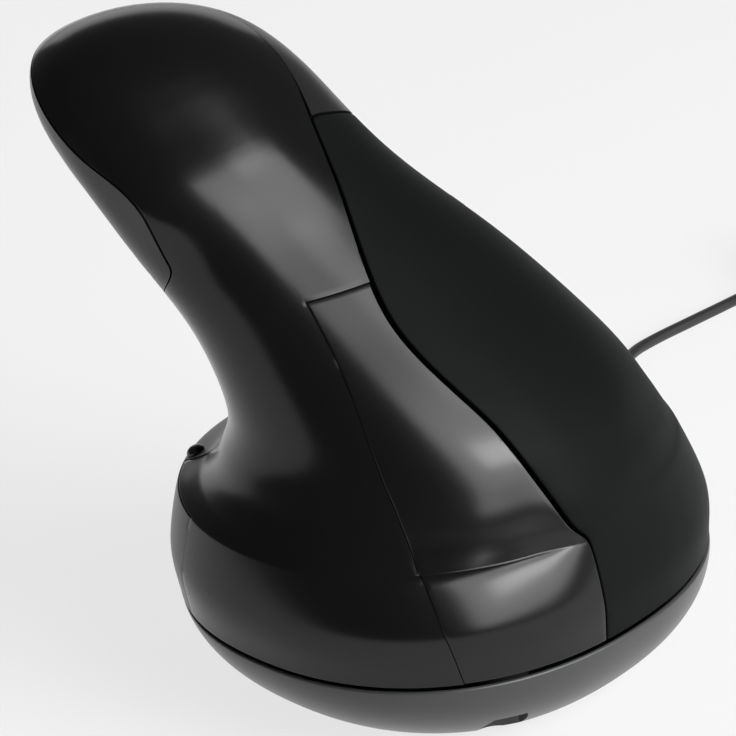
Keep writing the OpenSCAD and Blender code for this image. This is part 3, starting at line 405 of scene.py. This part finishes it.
def left_line(s):
    """Angle of the parting on the left: it steps round to the back below the head,
    and a bell curve swings it out round the leaf-shaped strip."""
    return 215 + 55 * smooth((s - 6.2) / 0.6) + 18 * np.exp(-((s - 7.35) / 0.52) ** 2)


def swell(s, t):
    """Share by which the skin stands out of its oval: a crest edges the back of the head
    along its left parting, a bell curve lifts a soft fold across it, and a dip makes a valley
    where the handle meets the shoulder."""
    a = turn_from(t, 310)
    crest = smooth((s - 6.7) / 0.5) * np.exp(-np.abs(turn_from(t, left_line(s))) / 14)
    fold = np.exp(-((s - 7.35) / 0.42) ** 2) * smooth((a + 38) / 25) * (1 - smooth((a - 35) / 30))
    dip = np.clip((s - 1.1) / 0.9, 0, 1) ** 1.6 * (1 - smooth((s - 2.6) / 4))
    dip = dip * smooth((a + 30) / 35) * (1 - smooth((a - 28) / 16))
    return 1 + CREST_SHARE * crest + FOLD_SHARE * fold - DIP_SHARE * dip


def skin(s, t):
    """Point of the skin: s counts ovals from the ring, t goes round in degrees from the right.
    Across and along, the reach times the cosine or sine raised to two over the squareness;
    then the plane is tilted. The ledge bends firmly at the back and softly under the grip."""
    s, t = np.broadcast_arrays(np.asarray(s, float), np.asarray(t, float))
    soft = smooth((np.cos(np.radians(t - 40)) - 0.574) / 0.192)[..., None]
    row = (1 - soft) * even_row(s, 0.3) + soft * even_row(s, 1.0)
    x0, y0, z0, left, right, rear, front, square, tilt = np.moveaxis(row, -1, 0)
    c = np.cos(np.radians(t))
    n = np.sin(np.radians(t))
    out = swell(s, t)
    x = out * np.where(c > 0, right, left) * np.sign(c) * np.abs(c) ** (2 / square)
    y = out * np.where(n > 0, front, rear) * np.sign(n) * np.abs(n) ** (2 / square)
    lean = np.radians(tilt)
    return np.stack([x0 + x * np.cos(lean), y0 + y, z0 + x * np.sin(lean)], -1)


def along(s, t):
    """Steps of the skin for a hundredth of a row each way, and for half a degree each way."""
    q = np.minimum(s, TOP + 0.96)
    return skin(q + 0.01, t) - skin(q - 0.01, t), skin(q, t + 0.5) - skin(q, t - 0.5)


print("skin from", skin(0.0, 0.0).round(1), "to", skin(9.0, 0.0).round(1))

# %% [markdown]
# The covers are cut from one skin, so their edges match.
# Lines that run up the skin and lines that run round it divide it into bands,
# and a small table says which cover owns each cell between them.
# Cells that nobody owns are the gaps, and they are as wide as the real partings.

# %% Draw the partings on the skin
SEAM = 0.08
LEFT_GAP = 0.48
LEDGE_GAP = 0.3
LIP_GAP = 0.5
GRIP_ENDS = 0.3
GRIP_GAP = 0.9
BUTTON_GAP = 0.8
FRONT = 100.0
GRIP_FRONT = 68.0
THUMB = (150.0, 171.0, 192.0)
LOWER = (4.95, 5.85)
UPPER = (6.52, 7.35)
KEYS = (5.35, 5.75)
WHEEL_D = 14.5
WHEEL_W = 6.0
SLOT_ROOM = 3.1
SLOT_SIDE = 2.2
SLOT_MID = 6.18
TOP_SEAM = 6.28
LEDGE = 2.12
LIP = 7.5
CAP = 8.9


def half_row(s, t, gap):
    """Half a gap in millimetres as a share of a row."""
    return 0.01 * gap / np.linalg.norm(along(s, t)[0])


def degrees(s, t, gap):
    """A gap in millimetres as an angle round the skin."""
    return gap / np.linalg.norm(along(s, t)[1], axis=-1)


slot_half = 2 * half_row(SLOT_MID, FRONT, WHEEL_W / 2 + SLOT_SIDE)
main_half = degrees(SLOT_MID, FRONT, WHEEL_D / 2 + SLOT_ROOM)
MAIN = (FRONT - main_half, FRONT + main_half)
cuts = {
    "ledge": half_row(LEDGE, 225, LEDGE_GAP), "lower": half_row(LOWER[1], FRONT, BUTTON_GAP),
    "keys": half_row(KEYS[1], THUMB[1], BUTTON_GAP), "seam": half_row(TOP_SEAM, 330, SEAM),
    "upper": half_row(UPPER[0], FRONT, BUTTON_GAP), "lip": half_row(LIP, 30, LIP_GAP),
}
row_edges = np.array([
    0, LEDGE - cuts["ledge"], LEDGE + cuts["ledge"], LOWER[0] - cuts["lower"], LOWER[0] + cuts["lower"],
    KEYS[0] - cuts["keys"], KEYS[0] + cuts["keys"], KEYS[1] - cuts["keys"], KEYS[1] + cuts["keys"],
    LOWER[1] - cuts["lower"], LOWER[1] + cuts["lower"], SLOT_MID - slot_half, TOP_SEAM - cuts["seam"],
    TOP_SEAM + cuts["seam"], SLOT_MID + slot_half, UPPER[0] - cuts["upper"], UPPER[0] + cuts["upper"],
    UPPER[1] - cuts["upper"], UPPER[1] + cuts["upper"], LIP - cuts["lip"], LIP + cuts["lip"], CAP, TOP + 1,
])
GRIP_TURN = np.array([-8, -8, -8.5, -11.5, -15.5, -21, -25.5, 0, 30, 60])[:, None]
PARTING_TURN = np.array([318, 315.5, 310.5, 308.5, 305, 302, 311.5, 323, 328, 330])[:, None]


def spread(s, t, gap):
    """The two edges of a gap that runs up the skin, never more than 2.2 degrees from its middle."""
    half = np.minimum(2.2, degrees(s, t, gap) / 2)
    return [t - half, t + half]


def column_edges(s):
    """Angles of the lines that run up the skin at height s, from the grip's gap round to the grip's gap."""
    parting = through(PARTING_TURN, s)[:, 0]
    left = left_line(s)
    ends = GRIP_ENDS + (SEAM - GRIP_ENDS) * smooth((s - 7.5) / 0.2)
    wide = ends + (GRIP_GAP - ends) * smooth((s - 1.5) / 1.5) * (1 - smooth((s - 7.5) / 0.4))
    grip = spread(s, through(GRIP_TURN, s)[:, 0], wide)
    plain = [(GRIP_FRONT, SEAM), (MAIN[0], BUTTON_GAP), (MAIN[1], BUTTON_GAP)]
    plain += [(t, BUTTON_GAP) for t in THUMB]
    lines = [grip[1]]
    lines += [edge for t, gap in plain for edge in spread(s, np.full(len(s), t), gap)]
    gaps = (LEFT_GAP, SEAM, SEAM)
    lines += [edge for t, gap in zip((left, left + 30, parting), gaps) for edge in spread(s, t, gap)]
    return np.stack(lines + [grip[0] + 360, grip[1] + 360], 1)


owners = np.full((22, 20), "front_shell", dtype="U24")
owners[3:10, 3:6] = ""
owners[4:9, 4] = "lower_button"
owners[11:14, 4] = ""
owners[15:18, 3:6] = ""
owners[16, 4] = "upper_button"
owners[5:8, 7:12] = ""
owners[6, 8] = "thumb_forward_button"
owners[6, 10] = "thumb_back_button"
owners[1:, 13] = ""
owners[1, 14:16] = ""
owners[0, 15] = ""
owners[2:, 14:19] = "back_cover"
owners[:, 16] = "back_cover"
owners[:13, 17:19] = ""
owners[:12, 18] = "side_cover"
owners[:, 19] = ""
owners[:20, :2] = ""
owners[:19, 0] = "grip_panel"
owners[21] = "front_shell"
print("partings:", len(row_edges), "lines round and", column_edges(np.array([1.0])).shape[1], "lines up")

# %% [markdown]
# The wheel has a rubber tyre with fine ribs across it, for the finger to catch.
# Ribs are geometry, so they also show in the outline: the ring's radius falls and rises as it goes round.

# %% Rib the tyre
RIBS = 36
RIB_DEPTH = 0.3
TYRE_T = 1.5
TYRE_EDGE = 0.3


def ribbed_tyre():
    """Ring round the wheel's axle: its section is a closed loop of eight points,
    and the outer ones rise and fall with the cosine of the angle times the number of ribs."""
    joints = {joint["name"]: joint for joint in frame["record"]["behaviour"]["joints"]}
    axle = np.array(joints["wheel_spin"]["axis"])
    side = unit(np.cross(axle, [0, 0, 1]))
    up = np.cross(side, axle)
    middle = np.array(joints["wheel_spin"]["pos_m"]) / MM
    half = WHEEL_W / 2 - TYRE_EDGE
    hub = WHEEL_D / 2 - TYRE_T
    crown = WHEEL_D / 2
    across = np.array([-half, -half, TYRE_EDGE - half, -half / 2, half / 2, half - TYRE_EDGE, half, half])
    radius = np.array([hub, crown - 0.6, crown - 0.25, crown, crown, crown - 0.25, crown - 0.6, hub])
    ribbed = np.array([0, 0, 1, 1, 1, 1, 0, 0])
    a = np.linspace(0, 2 * np.pi, 8 * RIBS, endpoint=False)[:, None]
    reach = radius - RIB_DEPTH * ribbed * smooth(0.5 + np.cos(RIBS * a))
    ring = reach[..., None] * (np.cos(a)[..., None] * up + np.sin(a)[..., None] * side)
    points = middle + ring + across[None, :, None] * axle
    faces = np.array(grid_faces(8 * RIBS + 1, 8)) % (8 * RIBS * 8)
    piece = add_piece("tyre_ribs", points.reshape(-1, 3), faces.tolist(), "wheel_tyre")
    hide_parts("wheel_tyre")
    return piece


tyre = ribbed_tyre()
print(tyre.name, len(tyre.data.polygons), "faces")

# %% [markdown]
# Now the skin is drawn on a fine grid whose lines include every parting.
# Each cover takes its own cells, gets a two millimetre wall inwards, and has the edges of that wall rounded.
# The glossy covers have crisp edges, and the soft grip has fuller ones.

# %% Cut the covers
STEP_S = 0.045
STEP_T = 1.6
WALL = 2.0
row_counts = np.maximum(1, np.ceil(np.diff(row_edges) / STEP_S)).astype(int)
wide_bands = np.diff(column_edges(np.array([2.0])), axis=1)[0]
column_counts = np.maximum(1, np.ceil(wide_bands / STEP_T)).astype(int)
row_band = np.repeat(np.arange(owners.shape[0]), row_counts)
column_band = np.repeat(np.arange(owners.shape[1]), column_counts)
row_share = np.concatenate([np.arange(n) / n for n in row_counts])
column_share = np.concatenate([np.arange(n) / n for n in column_counts])
lines_s = np.append(row_edges[row_band] + row_share * np.diff(row_edges)[row_band], TOP + 1)
edges_t = column_edges(np.minimum(lines_s, TOP + 0.95))
lines_t = edges_t[:, column_band] + column_share * np.diff(edges_t, axis=1)[:, column_band]


def level(s, t):
    """Height shifted across the front, where the ovals lean, so that row lines cross the buttons squarely;
    the lip over the grip drops a little towards the front."""
    across = np.interp(t, [GRIP_FRONT, MAIN[0], FRONT, MAIN[1], THUMB[0]], [0, 0.1, 0, -0.26, 0])
    drop = np.interp(t, [20, 66, 72], [0, -0.12, 0]) * np.interp(s, [7, 7.4, 7.7, 8.2], [0, 1, 1, 0])
    return s + across * np.interp(s, [4, 4.9, 6.4, 7.35, 8.3], [0, 1, 1, 0.5, 0]) + drop


skin_points = skin(level(lines_s[:, None], lines_t), lines_t).reshape(-1, 3)
columns = len(column_band)
cell_quads = np.array(grid_faces(len(lines_s), columns)).reshape(len(row_band), columns, 4)
cell_quads[-1, :, 2:] = cell_quads[-1, 0, 3]
cell_owner = owners[row_band[:, None], column_band[None, :]]


def cover(node, edge_radius):
    """Cells of the grid that one cover owns, thickened inwards and rounded along the rims."""
    quads = cell_quads[cell_owner == node]
    used, corner = np.unique(quads, return_inverse=True)
    faces = corner.reshape(-1, 4).tolist()
    faces = [f[:3] if f[2] == f[3] else f for f in faces]
    piece = add_piece(node + "_skin", skin_points[used], faces, node)
    solid = piece.modifiers.new("wall", "SOLIDIFY")
    solid.thickness = WALL * MM
    solid.offset = -1
    edge = piece.modifiers.new("edge", "BEVEL")
    edge.width = edge_radius * MM
    edge.segments = 3
    edge.limit_method = "ANGLE"
    edge.angle_limit = np.radians(50)
    shade = piece.modifiers.new("shade", "WEIGHTED_NORMAL")
    shade.keep_sharp = True
    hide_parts(node)
    return piece


EDGES = {
    "front_shell": 0.16, "back_cover": 0.2, "side_cover": 0.25, "grip_panel": 0.3, "upper_button": 0.4,
    "lower_button": 0.4, "thumb_forward_button": 0.4, "thumb_back_button": 0.4,
}
covers = {node: cover(node, radius) for node, radius in EDGES.items()}
for node, piece in covers.items():
    print(node, len(piece.data.polygons), "cells")

# %% [markdown]
# The base is a deep bowl under the ring, open at the top and hollow.
# Its wall is one profile carried round the oval:
# over the floor, up the outside, over the rim and down inside.

# %% Turn the bowl
RIM_Z = RING_Z - 1.0
TRAY_Z = 1.0
TRAY_D = 24.0
TRAY_DRIFT = (3, 2)
BOWL_SIDES = 180
RIM_ROUND = 0.5
RIM_SLOPE = 1.2


def bowl_rings(z, inset, share, count):
    """Rings of an oval bowl: the reach shrinks as a quarter ellipse with depth,
    and the middle drifts with it."""
    k = np.sqrt(1 - ((RING_Z - z) / TRAY_D) ** 2)
    drop = (RING_Z - z) / RING_Z
    t = np.linspace(0, 2 * np.pi, count, endpoint=False)[None, :]
    e = 2 / OVALS[0, 7]
    x = (HW * k - inset)[:, None] * np.sign(np.cos(t)) * np.abs(np.cos(t)) ** e
    y = (HL * k - inset)[:, None] * np.sign(np.sin(t)) * np.abs(np.sin(t)) ** e
    x0 = (OVALS[0, 0] + TRAY_DRIFT[0] * drop)[:, None]
    y0 = (OVALS[0, 1] + TRAY_DRIFT[1] * drop)[:, None]
    flat = np.broadcast_to(z[:, None], x.shape)
    return np.stack([x0 + share[:, None] * x, y0 + share[:, None] * y, flat], -1)


def bowl_mesh(z, inset, share, count):
    """Closed mesh from rings that start and end in the middle."""
    rings = bowl_rings(z, inset, share, count).reshape(-1, 3)
    faces = grid_faces(len(z), count)
    faces.append(list(range(count))[::-1])
    faces.append(list(range(len(rings) - count, len(rings))))
    return rings, faces


rise = np.linspace(0, 1, 22) ** 1.3
outer_z = TRAY_Z + (RIM_Z - RIM_ROUND - TRAY_Z) * rise
lip = np.radians([30, 60, 90])
lip_z = RIM_Z - RIM_ROUND + RIM_ROUND * np.sin(lip)
lip_in = RIM_ROUND - RIM_ROUND * np.cos(lip)
inner_z = TRAY_Z + WALL + (RIM_Z - RIM_SLOPE - TRAY_Z - WALL) * rise[::-1]
z_line = np.concatenate([[TRAY_Z, TRAY_Z], outer_z, lip_z, inner_z, [TRAY_Z + WALL] * 2])
inset_line = np.concatenate([np.zeros(2 + len(outer_z)), lip_in, np.full(len(inner_z) + 2, WALL)])
share_line = np.concatenate([[0.02, 0.5], np.ones(len(outer_z) + 3 + len(inner_z)), [0.5, 0.02]])
tray = add_piece("tray_bowl", *bowl_mesh(z_line, inset_line, share_line, BOWL_SIDES), "base_tray")

# %% [markdown]
# Four bosses for the case screws join the bowl, and a well under each opens towards the bowl's side.
# The wells, the sensor's window and the hole for the cable are cut with round or oblong bars.

# %% Cut the wells and holes
BAR_SIDES = 48


def bar(x, y, low, high, diameter, along_y=False, reach=0.0, flat=0.0):
    """Round bar between two levels, upright or along the cable's way, as a mesh object for cutting.
    With a reach its outer half is moved away from the middle of the base, so that it becomes oblong,
    and its inner half can be flattened by a share of its depth."""
    a = np.linspace(0, 2 * np.pi, BAR_SIDES, endpoint=False)
    ring = np.stack([np.cos(a), np.sin(a)], 1) * diameter / 2
    outwards = unit(np.array([x, y], float))
    side = ring @ outwards
    ring = ring + outwards * np.where(side > 0, reach, -flat * side)[:, None]
    ends = [np.column_stack([ring, np.full(BAR_SIDES, z)]) for z in (low, high)]
    points = np.concatenate(ends)
    if along_y:
        points = points[:, [0, 2, 1]] * [1, 1, -1]
    points = points + ([x, 0, y] if along_y else [x, y, 0])
    faces = grid_faces(2, BAR_SIDES)
    faces += [list(range(BAR_SIDES))[::-1], list(range(BAR_SIDES, 2 * BAR_SIDES))]
    mesh = bpy.data.meshes.new("bar")
    mesh.from_pydata((points * MM).tolist(), [], faces)
    made = bpy.data.objects.new("bar", mesh)
    scene.collection.objects.link(made)
    return made


def carve(piece, tools, way):
    """Joins, cuts or meets a piece with each tool in turn, keeps the result as its mesh,
    and removes the tools."""
    for tool in tools:
        step = piece.modifiers.new("carve", "BOOLEAN")
        step.operation = way
        step.solver = "EXACT"
        step.object = tool
    held = bpy.context.evaluated_depsgraph_get()
    piece.data = bpy.data.meshes.new_from_object(piece.evaluated_get(held))
    piece.modifiers.clear()
    for tool in tools:
        bpy.data.objects.remove(tool)


POSTS = [(28, -20), (-28, -20), (28, 24), (-28, 24)]
WELL_D = 8.0
WELL_REACH = 3.7
WELL_FLAT = 0.35
SEAT_Z = TRAY_Z + 7
PLATE_Z = RING_Z + 0.5
SCREW_HOLE = 2.6
SENSOR = (0, -6)
SENSOR_HOLE = 8
SPEED = (0, -22)
SPEED_HOLE = 7.6
GLAND_HOLE = 6.1
GLAND_SPAN = (25, 80)
FLOOR_TOP = TRAY_Z + WALL + 1
bosses = []
core_ones = np.ones(len(outer_z))
core_points, core_faces = bowl_mesh(outer_z, 0.02 * core_ones, core_ones, BOWL_SIDES)
for x, y in POSTS:
    boss = bar(x, y, 0.5, SEAT_Z + WALL, WELL_D + 3, reach=WELL_REACH)
    core_mesh = bpy.data.meshes.new("core")
    core_mesh.from_pydata((core_points * MM).tolist(), [], core_faces)
    core_piece = bpy.data.objects.new("core", core_mesh)
    scene.collection.objects.link(core_piece)
    carve(boss, [core_piece], "INTERSECT")
    bosses += [boss, bar(x, y, SEAT_Z, PLATE_Z, WELL_D + 2)]
carve(tray, bosses, "UNION")
holes = [bar(x, y, -1, SEAT_Z, WELL_D, reach=WELL_REACH, flat=WELL_FLAT) for x, y in POSTS]
holes += [bar(x, y, 0, PLATE_Z + 1, SCREW_HOLE) for x, y in POSTS]
holes += [bar(*SENSOR, 0, FLOOR_TOP, SENSOR_HOLE), bar(*SPEED, 0, FLOOR_TOP, SPEED_HOLE)]
holes.append(bar(EXIT[0], EXIT[2], *GLAND_SPAN, GLAND_HOLE, along_y=True))
carve(tray, holes, "DIFFERENCE")
# The bowl takes the lighter copy of satin black, whose paler grey is painted light from the floor beneath.
tray.data.materials[0] = bowl_painted_light_finish
tray.data.polygons.foreach_set("use_smooth", np.ones(len(tray.data.polygons), bool))
tray_shade = tray.modifiers.new("shade", "WEIGHTED_NORMAL")
tray_shade.keep_sharp = True
tray.data.set_sharp_from_angle(angle=np.radians(40))
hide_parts("base_tray")
print("bowl", len(tray.data.polygons), "faces")

# %% [markdown]
# Studio light for a dark, glossy object comes from large soft lamps,
# because the shine shows the lamps themselves.
# The floor is pale and wide enough to fill the view, and the world gives a little light from all round.

# %% Floor, lamps and world
SPAN = 12.0
FLOOR_Z = -0.00005
FLOOR_WHITE = 0.75
floor_mesh = bpy.data.meshes.new("floor")
floor_corners = [[x * SPAN, y * SPAN, FLOOR_Z] for x, y in ((-1, -1), (1, -1), (1, 1), (-1, 1))]
floor_mesh.from_pydata(floor_corners, [], [[0, 1, 2, 3]])
floor = bpy.data.objects.new("floor", floor_mesh)
scene.collection.objects.link(floor)
paper = bpy.data.materials.new("pale_paper")
paper.use_nodes = True
paper_nodes = paper.node_tree.nodes
paper_join = paper.node_tree.links.new
paper_shader = paper_nodes["Principled BSDF"]
paper_shader.inputs["Base Color"].default_value = (0.9, 0.9, 0.9, 1)
paper_shader.inputs["Roughness"].default_value = 0.9
paper_shader.inputs["Specular IOR Level"].default_value = 0.1
white = paper_nodes.new("ShaderNodeEmission")
white.inputs["Strength"].default_value = 1.0
rays = paper_nodes.new("ShaderNodeLightPath")
seen = rays.outputs["Is Camera Ray"]
for kind in ("Is Glossy Ray", "Is Transmission Ray"):
    either = paper_nodes.new("ShaderNodeMath")
    either.operation = "MAXIMUM"
    paper_join(seen, either.inputs[0])
    paper_join(rays.outputs[kind], either.inputs[1])
    seen = either.outputs["Value"]
part_white = paper_nodes.new("ShaderNodeMath")
part_white.operation = "MULTIPLY"
part_white.inputs[1].default_value = FLOOR_WHITE
paper_join(seen, part_white.inputs[0])
paper_mix = paper_nodes.new("ShaderNodeMixShader")
paper_join(part_white.outputs["Value"], paper_mix.inputs["Fac"])
paper_join(paper_shader.outputs["BSDF"], paper_mix.inputs[1])
paper_join(white.outputs["Emission"], paper_mix.inputs[2])
paper_join(paper_mix.outputs["Shader"], paper_nodes["Material Output"].inputs["Surface"])
floor_mesh.materials.append(paper)


def lamp(name, place, target, size, power):
    """Oblong soft lamp at a place, facing a target, in metres and watts."""
    light = bpy.data.lights.new(name, "AREA")
    light.shape = "RECTANGLE"
    light.size = size[0]
    light.size_y = size[1]
    light.energy = power
    made = bpy.data.objects.new(name, light)
    made.location = place
    way = unit(np.array(target, float) - np.array(place, float))
    made.rotation_euler = (np.arccos(-way[2]), 0, np.arctan2(-way[0], way[1]))
    scene.collection.objects.link(made)


lamp("back_softbox", (-0.95, 0.95, 0.42), (0, 0, 0.02), (1.2, 0.5), 1.5)
lamp("right_softbox", (0.844, 0.195, 0.56), (0, 0, 0.06), (1.06, 0.81), 12)
lamp("right_window", (0.57, 0.27, 0.82), (0, 0, 0.06), (0.32, 0.12), 0.35)
lamp("right_core", (0.83, 0.16, 0.52), (0, 0, 0.06), (0.46, 0.22), 2.6)
world = bpy.data.worlds.new("studio")
scene.world = world
world.use_nodes = True
sky = world.node_tree.nodes["Background"]
sky.inputs["Color"].default_value = (1, 1, 1, 1)
sky.inputs["Strength"].default_value = 0.1
scene.view_settings.view_transform = "Standard"
